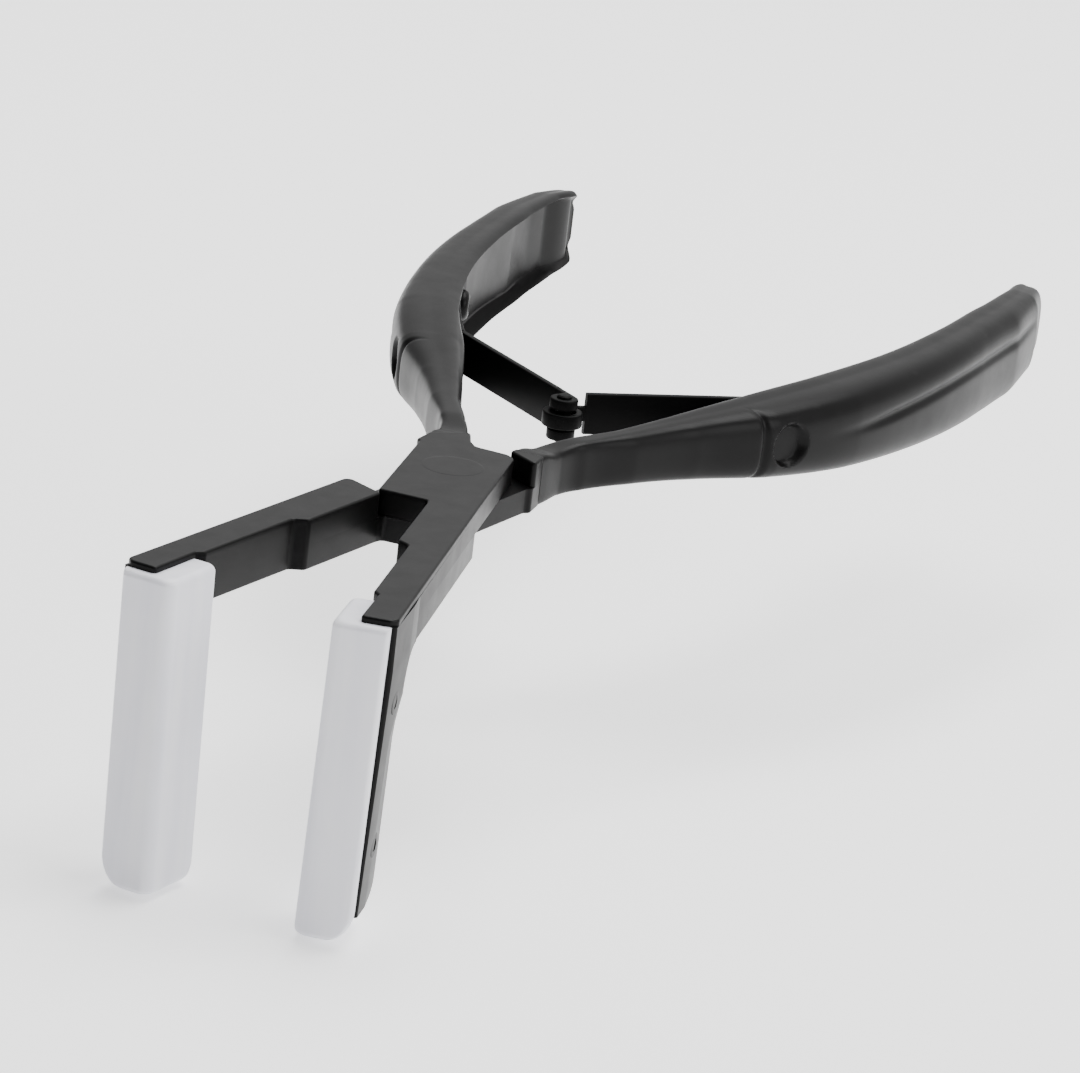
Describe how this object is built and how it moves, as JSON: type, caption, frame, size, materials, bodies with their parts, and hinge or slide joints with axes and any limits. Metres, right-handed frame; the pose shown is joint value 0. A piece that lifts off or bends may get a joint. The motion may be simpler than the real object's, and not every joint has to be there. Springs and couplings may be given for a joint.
{
  "type": "running pliers",
  "caption": "Spring-opened lap-joint running pliers with long flat soft pads hanging at right angles to the jaws.",
  "frame": {"origin": "middle of the pivot rivet, half way through the lap joint", "axes": "+Z along the pivot axis out of the upper lever's face, -Y towards the jaws, pads hang towards -Z"},
  "size_m": [0.0816, 0.1979, 0.0426],
  "materials": {
    "black_steel": "satin black coated steel",
    "rivet_steel": "satin black coated steel, ground flush",
    "pad_nylon": "soft milky nylon",
    "spring_steel": "blackened spring steel",
    "screw_steel": "blackened screw"
  },
  "bodies": {
    "lower": {"lower_lever": "black_steel", "pivot_rivet": "rivet_steel", "left_pad": "pad_nylon", "left_pad_screws": "screw_steel", "right_spring_root": "spring_steel", "right_spring_screw": "screw_steel"},
    "upper": {"upper_lever": "black_steel", "right_pad": "pad_nylon", "right_pad_screws": "screw_steel", "left_spring_root": "spring_steel", "left_spring_screw": "screw_steel"},
    "left_leaf": {"left_spring_leaf": "spring_steel", "spring_pin": "spring_steel"},
    "right_leaf": {"right_spring_leaf": "spring_steel"}
  },
  "joints": [
    {"name": "lever_pivot", "type": "hinge", "parent": "lower", "child": "upper", "pos_m": [0, 0, 0], "axis": [0, 0, -1], "range_deg": [0, 16.4], "stiffness_Nm_per_rad": 0.8, "springref_deg": -17.19},
    {"name": "left_leaf_flex", "type": "hinge", "parent": "upper", "child": "left_leaf", "pos_m": [-0.02266, 0.05919, 0], "axis": [0, 0, -1], "range_deg": [0, 13.7]},
    {"name": "right_leaf_flex", "type": "hinge", "parent": "lower", "child": "right_leaf", "pos_m": [0.02266, 0.05919, 0], "axis": [0, 0, 1], "range_deg": [0, 13.7]}
  ],
  "couplings": [
    {"joint": "left_leaf_flex", "follows": "lever_pivot", "ratio": 0.816},
    {"joint": "right_leaf_flex", "follows": "lever_pivot", "ratio": 0.816}
  ]
}
